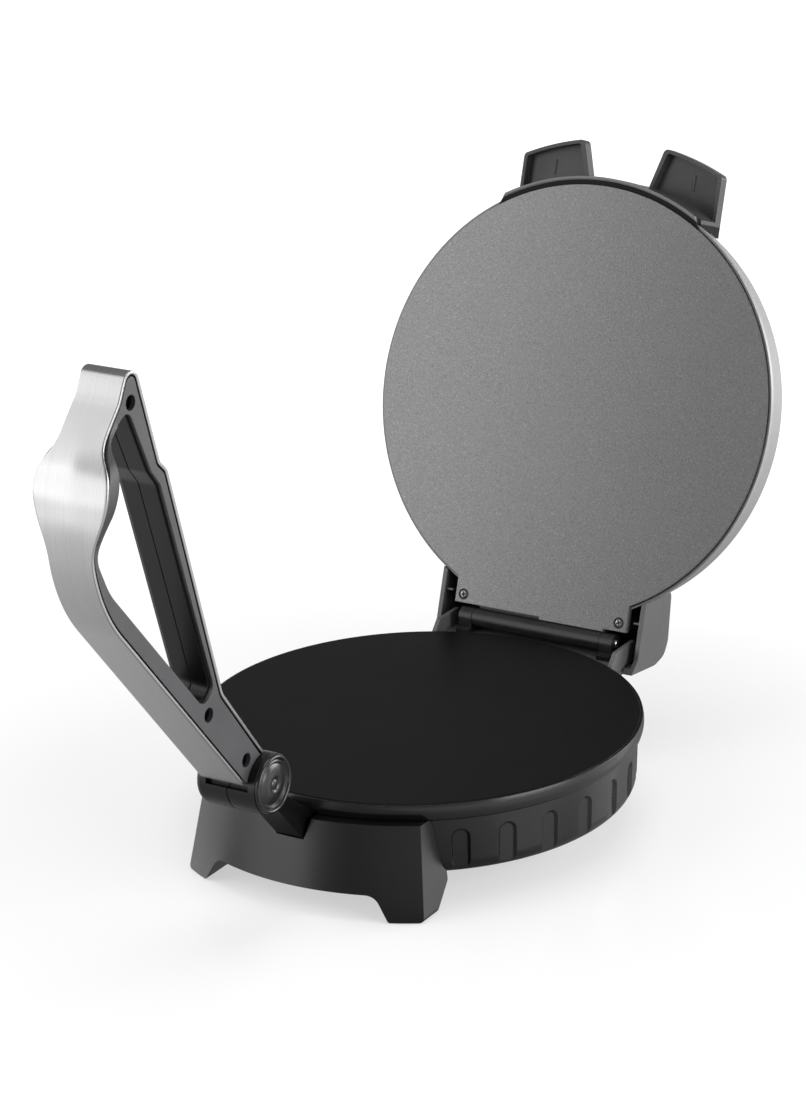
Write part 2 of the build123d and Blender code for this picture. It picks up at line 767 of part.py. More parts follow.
def open_lid(shape):
    """Turn a closed lid piece about the hinge to the open rest pose."""
    return Pos(0, hinge_y, hinge_z) * Rot(-open_angle, 0, 0) * Pos(0, -hinge_y, -hinge_z) * shape


# ---- press lever, drawn in its own plane: u along the lever, v towards the base ----
lever_plane = Plane(
    origin=(0, pivot_y, pivot_z),
    x_dir=(0, cos(radians(lever_rest_angle)), sin(radians(lever_rest_angle))),
    z_dir=(-1, 0, 0),
)


def lever_face(corners):
    """Face through (u, v, radius) corners, drawn at the lever's usual reach and scaled with it."""
    return outline([(u * lever_scale, v * lever_scale, r * lever_scale) for u, v, r in corners])


def seam_outline():
    """Side outline of the lever inside its metal band."""
    corners = [
        (-6.0, -8.5, 0),
        (195.0, -76.3, 85.0),
        (249.2, -46.7, 50.0),
        (265.5, -12.5, 20.0),
        (281.0, 5.2, 4.8),
        (219.0, -0.4, 5.0),
        (211.5, 2.9, 6.0),
        (72.0, -10.8, 15.0),
        (-6.0, 11.0, 0),
    ]
    return lever_face(corners)


def hand_hole():
    """Hand opening through the lever."""
    corners = [
        (258.5, -9.0, 4.0),
        (253.5, -33.0, 14.0),
        (223.5, -46.0, 14.0),
        (209.0, -62.5, 14.0),
        (186.0, -61.6, 45.0),
        (78.0, -25.0, 5.0),
        (81.5, -14.5, 5.0),
        (208.0, -4.3, 8.0),
        (219.0, -7.6, 8.0),
    ]
    return lever_face(corners)


def across(face, half_width):
    return extrude(lever_plane * face, amount=half_width, both=True)


def palm_prism(half_width):
    """Plan of the outer bar: straight, swelling to the palm rest, straight to the nose."""
    straight = lever_half + half_width - palm_half
    start, end = lever_reach * 0.752, lever_reach * 0.949
    line = Spline(
        (start, straight),
        (lever_reach * 0.825, half_width - (palm_half - lever_half) * 0.4),
        (lever_reach * 0.883, half_width),
        (lever_reach * 0.912, half_width - (palm_half - lever_half) * 0.26),
        (end, straight),
        tangents=((1, 0), (1, 0)),
    )
    line += Polyline((end, straight), (end, 0), (start, 0), (start, straight))
    face = make_face(line)
    far, near = lever_reach * 0.33, lever_reach * 0.069
    plan = Plane(
        origin=lever_plane.origin - lever_plane.y_dir * far, x_dir=lever_plane.x_dir, z_dir=lever_plane.y_dir
    )
    half = extrude(plan * face, amount=far - near)
    return half + mirrored(half)


def lever_limits(inset):
    """Room inside the lever's side faces, moved in by inset."""
    box = across(Pos(lever_reach / 2, -lever_reach / 9) * Rectangle(lever_reach * 1.2, lever_reach * 0.7), lever_half - inset)
    return box + palm_prism(palm_half - inset)


def near_pivot(radius):
    return rod_x(radius, -palm_half * 2, palm_half * 2, pivot_y, pivot_z)


def lever_band():
    """Bent metal strip round the lever's edge, open at the pivot."""
    inner = seam_outline()
    outer = offset(inner, band_sheet, kind=Kind.INTERSECTION)
    strip = across(outer - inner, palm_half + 5) & lever_limits(0)
    return strip - near_pivot(lever_barrel_radius + gap)


def sector(low, high, inner, outer, half_width):
    """Part of a ring about the pivot, between two angles, reaching half_width to both sides."""
    steps = 4
    angles = [low + (high - low) * k / steps for k in range(steps + 1)]
    points = [polar(outer, angle) for angle in angles] + [polar(inner, angle) for angle in reversed(angles)]
    face = make_face(Polyline(*points, close=True))
    return Pos(0, pivot_y, pivot_z) * extrude(Plane.YZ * face, amount=half_width, both=True)


def one_side(shape, side, start):
    """The part of a lever piece that lies beyond start on one side of its middle."""
    far = lever_reach * 2
    half_space = block(start, palm_half * 2, -far, far, -far, far)
    return shape & (half_space if side > 0 else mirrored(half_space))


def lever_core(side):
    """One half of the moulded core: bar, hand-hole lining and half of the pivot barrel."""
    face = offset(seam_outline(), -core_gap, kind=Kind.INTERSECTION) - hand_hole()
    bar = across(face, palm_half) & lever_limits(cover_sheet)
    bar -= near_pivot(lever_barrel_radius - 1)
    body = bar + rod_x(lever_barrel_radius, -lever_barrel_half, lever_barrel_half, pivot_y, pivot_z)
    body -= rod_x(hub_radius + 0.5, -hub_half - gap, hub_half + gap, pivot_y, pivot_z)
    body -= sector(-84.0, 90.0, 1.0, lever_barrel_radius + 12, hub_half + gap)
    body -= sector(slot_low, slot_high, lever_barrel_radius - slot_depth, lever_barrel_radius + 2, lever_half)
    body -= near_pivot(pivot_pin_radius + pin_clear)
    for end in (-1, 1):
        low, high = sorted((end * (lever_barrel_half - cap_socket_depth), end * palm_half * 2))
        body -= rod_x(cap_socket, low, high, pivot_y, pivot_z)
    body = one_side(body, side, parting)
    for u, v in lever_screw_places:
        place = lever_plane * Pos(u, v, 0)
        if side > 0:
            body -= place * (Pos(0, 0, -30) * Cylinder(lever_screw_recess, 26, align=BASE))
        body -= place * (Pos(0, 0, -30) * Cylinder(screw_shank, 30 + 8, align=BASE))
    return body


def lever_cover(side):
    """Side cover of the lever, with the screw recesses on the right."""
    face = offset(seam_outline(), -cover_inset, kind=Kind.INTERSECTION) - offset(hand_hole(), 1.2)
    body = across(face, palm_half + 5) & lever_limits(cover_recess)
    body -= lever_limits(cover_sheet)
    body -= near_pivot(lever_barrel_radius + gap)
    body = one_side(body, side, 1)
    if side > 0:
        for u, v in lever_screw_places:
            place = lever_plane * Pos(u, v, 0)
            body -= place * (Pos(0, 0, -30) * Cylinder(lever_screw_recess, 26, align=BASE))
    return body


def lever_cap(side):
    """Round end cap: raised rim, ring groove, domed boss and centre dimple."""
    cap = Cylinder(cap_radius, cap_thickness, align=BASE)
    cap = fillet(cap.edges().sort_by(Axis.Z)[-1], 1.0)
    groove = Cylinder(cap_radius * 0.9, 2, align=BASE) - Cylinder(cap_radius * 0.71, 2, align=BASE)
    cap -= Pos(0, 0, cap_thickness - 1.0) * groove
    ring_step = Cylinder(cap_radius * 0.62, 2, align=BASE) - Cylinder(cap_radius * 0.36, 2, align=BASE)
    cap -= Pos(0, 0, cap_thickness - 0.5) * ring_step
    cap -= Pos(0, 0, cap_thickness + 2.2) * Sphere(3.0)
    cap += Pos(0, 0, gap - cap_socket_depth) * Cylinder(cap_socket - 0.2, cap_socket_depth - gap, align=BASE)
    placed = Pos(lever_barrel_half, pivot_y, pivot_z) * Rot(0, 90, 0) * cap
    return placed if side > 0 else mirrored(placed)


def lever_screw(place):
    u, v = place
    screw = cap_screw(lever_screw_head, 2.0, screw_shank - screw_clear, 11)
    return lever_plane * Pos(u, v, -4.0) * screw


# ---- write every node ----
def write_base():
    save(base_housing(), "base_housing")
    save(front_cradle(), "front_cradle")
    save(cooking_plate(), "cooking_plate")
    save(heater(heater_radius, heater_height, heater_lead_angle, heater_lead_end), "lower_heater")
    save(heat_shield(), "lower_heat_shield")
    save(thermostat(), "thermostat")
    save(bottom_cover(), "bottom_cover")
    save(cord_gland(), "cord_gland")
    save(hinge_tower(), "hinge_tower")
    save(hinge_bracket(), "hinge_bracket_right")
    save(mirrored(hinge_bracket()), "hinge_bracket_left")
    save(hinge_pin(), "hinge_pin")
    save(pivot_bracket(), "pivot_bracket")
    save(pivot_pin(), "pivot_pin")
    for name, (x, y) in zip(("front_right", "front_left"), front_pad_places()):
        save(foot_pad(x, y), "foot_pad_" + name)
    save(foot_pad(rear_foot_x, rear_foot_y), "foot_pad_rear_right")
    save(foot_pad(-rear_foot_x, rear_foot_y), "foot_pad_rear_left")
    for number, angle in enumerate(boss_angles, 1):
        save(base_screw(angle), "base_screw_" + str(number))
    for number, angle in enumerate(plate_screw_angles, 1):
        save(plate_screw(angle), "plate_screw_" + str(number))


def write_lid():
    save(open_lid(lid_plate()), "lid_plate")
    save(open_lid(lid_shell()), "lid_shell")
    save(open_lid(lid_front_trim()), "lid_front_trim")
    save(open_lid(lid_hood()), "lid_hood")
    save(open_lid(hinge_leaf()), "lid_hinge_leaf")
    save(open_lid(upper_heater()), "upper_heater")
    save(open_lid(upper_dish()), "upper_heat_shield")
    save(open_lid(lid_screw(1)), "lid_screw_right")
    save(open_lid(lid_screw(-1)), "lid_screw_left")


def write_lever():
    save(lever_band(), "lever_band")
    for side, name in ((1, "right"), (-1, "left")):
        save(lever_core(side), "lever_core_" + name)
        save(lever_cover(side), "lever_cover_" + name)
        save(lever_cap(side), "lever_cap_" + name)
    for number, place in enumerate(lever_screw_places, 1):
        save(lever_screw(place), "lever_screw_" + str(number))


write_base()
write_lid()
write_lever()
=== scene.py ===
"""Electric roti maker: the finished looks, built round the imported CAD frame."""

import logging
import math
from dataclasses import dataclass, field
from enum import Enum

import bpy
from mathutils import Matrix, Vector


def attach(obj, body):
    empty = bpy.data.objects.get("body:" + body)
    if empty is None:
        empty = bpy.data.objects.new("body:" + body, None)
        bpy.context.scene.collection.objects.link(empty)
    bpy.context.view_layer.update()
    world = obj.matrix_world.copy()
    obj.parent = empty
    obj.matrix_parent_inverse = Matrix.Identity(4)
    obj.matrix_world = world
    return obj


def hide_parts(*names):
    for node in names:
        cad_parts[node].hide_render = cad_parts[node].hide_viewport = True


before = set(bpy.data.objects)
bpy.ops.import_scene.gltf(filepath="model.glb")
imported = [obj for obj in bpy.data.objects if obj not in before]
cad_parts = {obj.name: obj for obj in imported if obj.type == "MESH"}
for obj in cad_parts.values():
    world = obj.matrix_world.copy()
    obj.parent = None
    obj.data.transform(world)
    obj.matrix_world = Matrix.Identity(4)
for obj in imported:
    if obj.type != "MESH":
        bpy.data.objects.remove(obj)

Piece = bpy.types.Object
Material = bpy.types.Material
Tree = bpy.types.NodeTree
Node = bpy.types.Node
Socket = bpy.types.NodeSocket

MM = 0.001
# The image is 806 pixels wide and 1100 high, and Blender fits the sensor to its longer side.
IMAGE_LONG_SIDE = 1100
# The open lid: the middle of its plate's face, the way up along the face, and the way it looks.
LID_CENTRE = (0.0, 0.1830, 0.1975)
LID_UPWARD = (0.0, 0.3244, 0.9459)
LID_FACING = (0.0, -0.9459, 0.3244)
# Nearly all of a noise texture's values lie in this span, so it is what gets spread out.
NOISE_SPAN = {"From_Min": 0.3, "From_Max": 0.7}

logging.basicConfig(level=logging.INFO, format="%(message)s")
log = logging.getLogger("roti_maker")
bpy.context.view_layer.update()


# ---------------------------------------------------------------- colour and nodes
def linear(code: str) -> tuple[float, float, float, float]:
    """Turn an sRGB hex code such as '#808080' into a linear colour.

    Args:
        code: the sRGB colour.

    Returns:
        Red, green and blue, linear, and an opacity of 1.
    """
    values = [int(code[start : start + 2], 16) / 255 for start in (1, 3, 5)]
    values = [v / 12.92 if v <= 0.04045 else ((v + 0.055) / 1.055) ** 2.4 for v in values]
    return values[0], values[1], values[2], 1.0


def per_mm(size: float) -> float:
    """Noise scale, in cells per metre, that gives features of a size in millimetres."""
    return 1.0 / (size * MM)


def add(tree: Tree, kind: str, settings: dict | None = None, **inputs: object) -> Node:
    """Add one shader node, set it up and wire it.

    Args:
        tree: the material's or world's node tree.
        kind: the node's type name without the ShaderNode prefix.
        settings: attributes of the node itself. Its stops are a colour ramp's (place, hex colour)
            pairs in rising order.
        inputs: a value or an output socket for each input. An input goes by its name, with
            underscores for spaces, or by an underscore and its number.

    Returns:
        The new node.
    """
    node = tree.nodes.new("ShaderNode" + kind)
    settings = dict(settings or {})
    stops = settings.pop("stops", ())
    for name, value in settings.items():
        setattr(node, name, value)
    if stops:
        elements = node.color_ramp.elements
        while len(elements) < len(stops):
            elements.new(0.5)
        for element, (position, code) in zip(elements, stops):
            element.position = position
            element.color = linear(code)
    for name, value in inputs.items():
        key = int(name[1:]) if name[0] == "_" else name.replace("_", " ")
        socket = node.inputs[key]
        if isinstance(value, Socket):
            tree.links.new(value, socket)
        else:
            socket.default_value = value
    return node


def node_of(tree: Tree, kind: str) -> Node:
    """Find a tree's first node of one type."""
    return next(node for node in tree.nodes if node.type == kind)


def overlay(material: Material, mask: Socket, colour: str, roughness: float | None = None) -> None:
    """Lay a second colour, and a second roughness if there is one, over a made material.

    Args:
        material: the material.
        mask: 1 where the second finish shows and 0 where it doesn't.
        colour: the second finish's sRGB hex colour.
        roughness: the second finish's roughness, or None to keep the first.
    """
    tree = material.node_tree
    shader = node_of(tree, "BSDF_PRINCIPLED")
    skin = shader.inputs["Base Color"]
    tint = add(
        tree, "Mix", {"data_type": "RGBA"}, Factor=mask, _6=skin.links[0].from_socket, _7=linear(colour)
    )
    tree.links.new(tint.outputs[2], skin)
    if roughness is not None:
        gloss = shader.inputs["Roughness"]
        rough = add(tree, "Mix", Factor=mask, _2=gloss.links[0].from_socket, _3=roughness)
        tree.links.new(rough.outputs[0], gloss)


def lid_place(tree: Tree, place: Socket, direction: tuple[float, float, float]) -> Socket:
    """Measure how far a point lies from the middle of the open lid's face along a direction.

    Args:
        tree: the node tree.
        place: the object coordinates.
        direction: the unit direction.

    Returns:
        The signed distance in metres.
    """
    local = add(tree, "VectorMath", {"operation": "SUBTRACT"}, _0=place, _1=LID_CENTRE).outputs["Vector"]
    return add(tree, "VectorMath", {"operation": "DOT_PRODUCT"}, _0=local, _1=direction).outputs["Value"]


@dataclass(frozen=True)
class Finish:
    """What every finish shares: its name, how it starts, its relief and how it ends."""

    name: str

    def start(self) -> tuple[Material, Tree, Socket]:
        """Make an empty node material.

        Returns:
            The material, its tree and the object coordinates to read.
        """
        material = bpy.data.materials.new(self.name)
        material.use_nodes = True
        tree = material.node_tree
        tree.nodes.clear()
        place = add(tree, "TexCoord").outputs["Object"]
        return material, tree, place

    def relief(
        self, tree: Tree, height: Socket, depth_mm: float, strength: float = 0.3, edge_mm: float = 0.35
    ) -> Socket:
        """Surface relief on softly broken edges, as no moulded or pressed edge is sharp.

        Args:
            tree: the material's tree.
            height: the relief's height.
            depth_mm: how deep it is.
            strength: how much of it is felt.
            edge_mm: radius of the broken edges.

        Returns:
            The normal to shade with.
        """
        edges = add(tree, "Bevel", {"samples": 4}, Radius=edge_mm * MM)
        bump = add(
            tree, "Bump", Height=height, Strength=strength, Distance=depth_mm * MM,
            Normal=edges.outputs["Normal"],
        )
        return bump.outputs["Normal"]

    def close(self, tree: Tree, surface: Node) -> None:
        """Wire the shader to the material's output."""
        add(tree, "OutputMaterial", Surface=surface.outputs[0])


@dataclass(frozen=True)
class MouldedPlastic(Finish):
    """Injection-moulded ABS: a fine spark-eroded grain, faint flow shading and dulled patches.

    The real grain is well under 0.1 mm. It is drawn at 0.6 mm, as coarse as it needs to show.
    """

    colour: str
    shade: str
    roughness: float
    patch: float = 0.03
    specular: float = 0.5
    flow_mm: float = 38.0
    rub_mm: float = 9.0
    grain_mm: float = 0.6
    grain_depth_mm: float = 0.012
    grain_strength: float = 0.5
    edge_mm: float = 0.5
    crevice_shade_mm: float = 0.0
    crevice_shade: str = "#050505"

    def build(self) -> Material:
        """Make the plastic.

        Returns:
            The material.
        """
        material, tree, place = self.start()
        flow = add(tree, "TexNoise", Vector=place, Scale=per_mm(self.flow_mm), Detail=3.0, Roughness=0.55)
        tint = add(
            tree, "ValToRGB", {"stops": [(0.3, self.shade), (0.7, self.colour)]}, Fac=flow.outputs["Fac"]
        ).outputs["Color"]
        # Painted shade: ambient occlusion darkens the colour in corners and beside close surfaces.
        if self.crevice_shade_mm:
            near = add(tree, "AmbientOcclusion", {"samples": 6}, Distance=self.crevice_shade_mm * MM)
            tint = add(
                tree, "Mix", {"data_type": "RGBA"}, Factor=near.outputs["AO"], _6=linear(self.crevice_shade),
                _7=tint,
            ).outputs[2]
        grain = add(tree, "TexNoise", Vector=place, Scale=per_mm(self.grain_mm), Detail=2.0)
        rub = add(tree, "TexNoise", Vector=place, Scale=per_mm(self.rub_mm), Detail=4.0, Roughness=0.6)
        rough = add(
            tree, "MapRange", Value=rub.outputs["Fac"], **NOISE_SPAN,
            To_Min=self.roughness - self.patch, To_Max=self.roughness + self.patch,
        )
        normal = self.relief(
            tree, grain.outputs["Fac"], self.grain_depth_mm, self.grain_strength, self.edge_mm
        )
        shader = add(
            tree, "BsdfPrincipled", Base_Color=tint, Roughness=rough.outputs["Result"], IOR=1.5,
            Normal=normal, Specular_IOR_Level=self.specular,
        )
        self.close(tree, shader)
        return material


@dataclass(frozen=True)
class SplitCore(MouldedPlastic):
    """The lever core's ABS, with painted shade and grime in the parting line between its two halves."""

    seam_mm: float = 0.5
    seam_shade_and_grime: str = "#010101"
    seam_roughness: float = 0.95

    def build(self) -> Material:
        """Make the plastic, then blacken and dull a line where the halves meet, as painted shade with grime.

        Returns:
            The material.
        """
        material = super().build()
        tree = material.node_tree
        # Painted shade and grime: a line about a millimetre wide at the middle plane is made black and dull.
        side = add(tree, "SeparateXYZ", Vector=node_of(tree, "TEX_COORD").outputs["Object"]).outputs["X"]
        away = add(tree, "Math", {"operation": "ABSOLUTE"}, _0=side).outputs[0]
        line = add(
            tree, "MapRange", Value=away, From_Min=self.seam_mm * MM, From_Max=self.seam_mm * 0.6 * MM
        ).outputs["Result"]
        overlay(material, line, self.seam_shade_and_grime, self.seam_roughness)
        return material


@dataclass(frozen=True)
class RecessedTrim(MouldedPlastic):
    """The lid trim's ABS, with a painted highlight on its lip and painted shade, dull black, between lip and plate.
    """

    lip_mm: float = 133.2
    lip_wide_mm: float = 2.4
    lip_behind_mm: tuple[float, float] = (2.0, 1.4)
    lip: str = "#6e6e70"
    recess_shade: str = "#040404"
    recess_roughness: float = 0.8

    def build(self) -> Material:
        """Make the plastic, then paint a highlight on the lip and paint shade on what lies inside it.

        Returns:
            The material.
        """
        material = super().build()
        tree = material.node_tree
        place = node_of(tree, "TEX_COORD").outputs["Object"]
        height = lid_place(tree, place, LID_UPWARD)
        aside = add(tree, "SeparateXYZ", Vector=place).outputs["X"]
        flat = add(tree, "CombineXYZ", X=aside, Y=height).outputs["Vector"]
        radius = add(tree, "VectorMath", {"operation": "LENGTH"}, _0=flat).outputs["Value"]
        # Painted shade: inside the lip the trim is made dull black.
        inside = add(
            tree, "MapRange", Value=radius, From_Min=(self.lip_mm + 0.2) * MM,
            From_Max=(self.lip_mm - 0.2) * MM,
        ).outputs["Result"]
        within = add(
            tree, "MapRange", Value=radius, From_Min=(self.lip_mm + self.lip_wide_mm) * MM,
            From_Max=(self.lip_mm + self.lip_wide_mm - 0.3) * MM,
        ).outputs["Result"]
        front = add(
            tree, "MapRange", Value=lid_place(tree, place, LID_FACING),
            From_Min=-self.lip_behind_mm[0] * MM, From_Max=-self.lip_behind_mm[1] * MM,
        ).outputs["Result"]
        # Painted highlight: the lip's front ring is made paler.
        lip_highlight_mask = add(tree, "Math", {"operation": "MULTIPLY"}, _0=within, _1=front).outputs[0]
        overlay(material, lip_highlight_mask, self.lip)
        overlay(material, inside, self.recess_shade, self.recess_roughness)
        return material


@dataclass(frozen=True)
class SprayedNonStick(Finish):
    """Non-stick coating sprayed and baked on cast aluminium: a two-tone speckle and orange peel.

    The real speckle is a few tenths of a millimetre. It is drawn at 0.9 mm, as coarse as it needs
    to show.
    """

    colour: str
    dark: str
    light: str
    roughness: float
    specular: float = 0.5
    speckle_mm: float = 0.9
    peel_mm: float = 1.6
    peel_depth_mm: float = 0.03
    peel_strength: float = 0.35
    edge_mm: float = 0.8
    haze_mm: float = 45.0
    haze: tuple[float, float] = (-0.015, 0.02)
    side_shade: str = "#ffffff"
    reach_mm: float = 130.0

    def build(self) -> Material:
        """Make the coating, with painted shade that darkens it towards one side of the plate.

        Returns:
            The material.
        """
        material, tree, place = self.start()
        dots = add(
            tree, "TexNoise", Vector=place, Scale=per_mm(self.speckle_mm), Detail=2.0, Roughness=0.75
        )
        stops = [(0.32, self.dark), (0.46, self.colour), (0.56, self.colour), (0.7, self.light)]
        speckle = add(tree, "ValToRGB", {"stops": stops}, Fac=dots.outputs["Fac"])
        # Painted shade: the speckle is multiplied by the side shade colour more and more towards +X, so one side of
        # the plate is darker.
        across = add(tree, "SeparateXYZ", Vector=place).outputs["X"]
        side_shade_fade = add(
            tree, "MapRange", {"interpolation_type": "SMOOTHSTEP"}, Value=across,
            From_Min=-self.reach_mm * MM, From_Max=self.reach_mm * MM,
        )
        tint = add(
            tree, "Mix", {"data_type": "RGBA", "blend_type": "MULTIPLY"},
            Factor=side_shade_fade.outputs["Result"], _6=speckle.outputs["Color"], _7=linear(self.side_shade),
        ).outputs[2]
        peel = add(tree, "TexNoise", Vector=place, Scale=per_mm(self.peel_mm), Detail=3.0)
        haze = add(tree, "TexNoise", Vector=place, Scale=per_mm(self.haze_mm), Detail=3.0)
        rough = add(
            tree, "MapRange", Value=haze.outputs["Fac"], **NOISE_SPAN,
            To_Min=self.roughness + self.haze[0], To_Max=self.roughness + self.haze[1],
        )
        normal = self.relief(
            tree, peel.outputs["Fac"], self.peel_depth_mm, self.peel_strength, self.edge_mm
        )
        shader = add(
            tree, "BsdfPrincipled", Base_Color=tint, Roughness=rough.outputs["Result"],
            Specular_IOR_Level=self.specular, Normal=normal,
        )
        self.close(tree, shader)
        return material


@dataclass(frozen=True)
class BrushedMetal(Finish):
    """Metal strip brushed along its length: hair lines, long in Y and Z and fine across X.

    Real brush lines are about 0.1 mm apart. They are drawn at 0.45 mm, as coarse as they need to show.
    """

    colour: str
    shade: str
    roughness: float
    stroke: float = 0.03
    line_mm: float = 0.45
    run_mm: float = 260.0
    line_depth_mm: float = 0.003
    edge_mm: float = 0.5

    def build(self) -> Material:
        """Make the metal.

        Returns:
            The material.
        """
        material, tree, place = self.start()
        across = self.run_mm / self.line_mm
        stretched = add(tree, "Mapping", Vector=place, Scale=(across, 1.0, 1.0)).outputs["Vector"]
        lines = add(
            tree, "TexNoise", Vector=stretched, Scale=per_mm(self.run_mm), Detail=4.0, Roughness=0.7
        ).outputs["Fac"]
        tint = add(
            tree, "ValToRGB", {"stops": [(0.25, self.shade), (0.6, self.colour)]}, Fac=lines
        )
        rough = add(
            tree, "MapRange", Value=lines, **NOISE_SPAN,
            To_Min=self.roughness - self.stroke, To_Max=self.roughness + self.stroke,
        )
        normal = self.relief(tree, lines, self.line_depth_mm, edge_mm=self.edge_mm)
        shader = add(
            tree, "BsdfPrincipled", Base_Color=tint.outputs["Color"], Metallic=1.0,
            Roughness=rough.outputs["Result"], Normal=normal,
        )
        self.close(tree, shader)
        return material


@dataclass(frozen=True)
class PlainMetal(Finish):
    """Pressed, drawn or plated metal: a faint mottled sheen and fine handling marks.

    Real handling marks are hair-fine. They are drawn at 0.5 mm, as coarse as they need to show.
    """

    colour: str
    shade: str
    roughness: float
    metallic: float = 1.0
    mottle_mm: float = 6.0
    handled: tuple[float, float] = (-0.04, 0.08)
    mark_mm: float = 0.5
    mark_depth_mm: float = 0.004

    def build(self) -> Material:
        """Make the metal.

        Returns:
            The material.
        """
        material, tree, place = self.start()
        mottle = add(
            tree, "TexNoise", Vector=place, Scale=per_mm(self.mottle_mm), Detail=5.0, Roughness=0.65
        ).outputs["Fac"]
        tint = add(
            tree, "ValToRGB", {"stops": [(0.3, self.shade), (0.65, self.colour)]}, Fac=mottle
        )
        rough = add(
            tree, "MapRange", Value=mottle, **NOISE_SPAN,
            To_Min=self.roughness + self.handled[0], To_Max=self.roughness + self.handled[1],
        )
        marks = add(tree, "TexNoise", Vector=place, Scale=per_mm(self.mark_mm), Detail=2.0)
        normal = self.relief(tree, marks.outputs["Fac"], self.mark_depth_mm)
        shader = add(
            tree, "BsdfPrincipled", Base_Color=tint.outputs["Color"], Metallic=self.metallic,
            Roughness=rough.outputs["Result"], Normal=normal,
        )
        self.close(tree, shader)
        return material


@dataclass(frozen=True)
class RimmedShell(PlainMetal):
    """The lid shell's sprayed steel, with painted shade, duller and darker, on the turned edge beside the plate."""

    rim_shade: str = "#6c6c6d"
    rim_mm: float = 1.6
    rim_fade_mm: float = 0.8
    rim_roughness: float = 0.6

    def build(self) -> Material:
        """Make the metal, then paint shade on what lies close behind the plate's face.

        Returns:
            The material.
        """
        material = super().build()
        tree = material.node_tree
        proud = lid_place(tree, node_of(tree, "TEX_COORD").outputs["Object"], LID_FACING)
        # Painted shade: the shell's edge in the seam beside the plate is made darker and duller.
        edge = add(
            tree, "MapRange", Value=proud, From_Min=-(self.rim_mm + self.rim_fade_mm) * MM,
            From_Max=-self.rim_mm * MM,
        ).outputs["Result"]
        overlay(material, edge, self.rim_shade, self.rim_roughness)
        return material


@dataclass(frozen=True)
class Rubber(Finish):
    """Moulded rubber: matte, with a dusty bloom."""

    colour: str
    bloom: str
    roughness: float = 0.75
    dust_mm: float = 3.0
    dust_depth_mm: float = 0.02

    def build(self) -> Material:
        """Make the rubber.

        Returns:
            The material.
        """
        material, tree, place = self.start()
        dust = add(
            tree, "TexNoise", Vector=place, Scale=per_mm(self.dust_mm), Detail=5.0, Roughness=0.7
        ).outputs["Fac"]
        tint = add(
            tree, "ValToRGB", {"stops": [(0.4, self.colour), (0.75, self.bloom)]}, Fac=dust
        )
        normal = self.relief(tree, dust, self.dust_depth_mm)
        shader = add(
            tree, "BsdfPrincipled", Base_Color=tint.outputs["Color"], Roughness=self.roughness,
            Normal=normal,
        )
        self.close(tree, shader)
        return material


# ---------------------------------------------------------------- the finishes of this cooker
# ABS from a spark-eroded tool: near-black, with broad soft reflections of the floor.
HOUSING_ABS = MouldedPlastic("moulded_abs_base", "#151516", "#101011", roughness=0.25)
# ABS from a polished tool: deep black and smooth, so it fades from its lit end to its dark one.
CRADLE_ABS = MouldedPlastic(
    "moulded_abs_cradle", "#0c0c0d", "#0a0a0b", roughness=0.26, grain_depth_mm=0.0015, patch=0.006
)
# ABS: charcoal with little gloss, a painted highlight on its lip and painted shade inside it.
TRIM_ABS = RecessedTrim("moulded_abs_trim", "#404042", "#373738", roughness=0.36, specular=0.28)
# Black ABS with a satin grain, painted mid grey: a painted reflection of the light on its cheeks, shaded evenly
# round them.
HOOD_ABS = MouldedPlastic("moulded_abs_hood", "#4c4c4d", "#424243", roughness=0.36)
# Black ABS with a coarser grain, painted a paler grey, close to matte: a painted reflection of the light on its side
# panel.
TOWER_ABS = MouldedPlastic("moulded_abs_tower", "#5a5a5b", "#505051", roughness=0.4)
# Textured ABS: matte charcoal, with painted shade that darkens it in its corners.
COVER_ABS = MouldedPlastic("moulded_abs_lever_cover", "#4a4a4c", "#404042", roughness=0.42, crevice_shade_mm=1.6)
# Two satin ABS halves: black, with a blacker line of painted shade and grime where they meet.
CORE_ABS = SplitCore("moulded_abs_lever_core", "#131314", "#0f0f10", roughness=0.34, patch=0.015, specular=0.3)
# ABS from a mirror-polished tool: gloss black, and its turned rings catch thin bright lines.
CAP_ABS = MouldedPlastic(
    "moulded_abs_pivot_cap", "#232324", "#1e1e1f", roughness=0.22, grain_depth_mm=0.001, edge_mm=0.05, patch=0.01
)
# Black non-stick coating: deep black with hardly a reflection.
HOT_PLATE = SprayedNonStick("nonstick_hot_plate", "#0b0b0c", "#080808", "#121213", roughness=0.36, specular=0.1)
# Grey non-stick coating: matte, with a fine light and dark speckle, and painted shade darkening it towards one side.
LID_PLATE = SprayedNonStick(
    "nonstick_lid_plate", "#8b8b8b", "#707070", "#acacac", roughness=0.55, side_shade="#bababa"
)
# Rolled aluminium, brushed: bright, with streaks along the strip and broad soft highlights.
BAND_METAL = BrushedMetal("brushed_aluminium_band", "#a8a8a8", "#9a9a9a", roughness=0.29)
# Pressed steel, sprayed silver: pale and softly metallic, with painted shade on its edge beside the plate.
SHELL_METAL = RimmedShell(
    "sprayed_steel_shell", "#a6a6a7", "#9c9c9d", roughness=0.42, metallic=0.55, mottle_mm=1.2
)
# Zinc-plated steel: bright, with a mottled sheen.
SCREW_METAL = PlainMetal("zinc_plated_steel", "#c6c6c8", "#9c9c9e", roughness=0.28)
# Black-zinc-plated steel, worn grey by the driver: a dim head with small glints.
DARK_SCREW = PlainMetal("black_zinc_screw", "#868688", "#6c6c6e", roughness=0.34, mottle_mm=2.0)
# Folded steel under black paint: dark, with a dull metallic glint.
LEAF_METAL = PlainMetal("black_painted_steel", "#242425", "#1b1b1c", roughness=0.36, metallic=0.3)
# Drawn steel tube, heated many times: a warm, dull grey.
TUBE_METAL = PlainMetal("drawn_heater_tube", "#7c7a76", "#5c5a57", roughness=0.42)
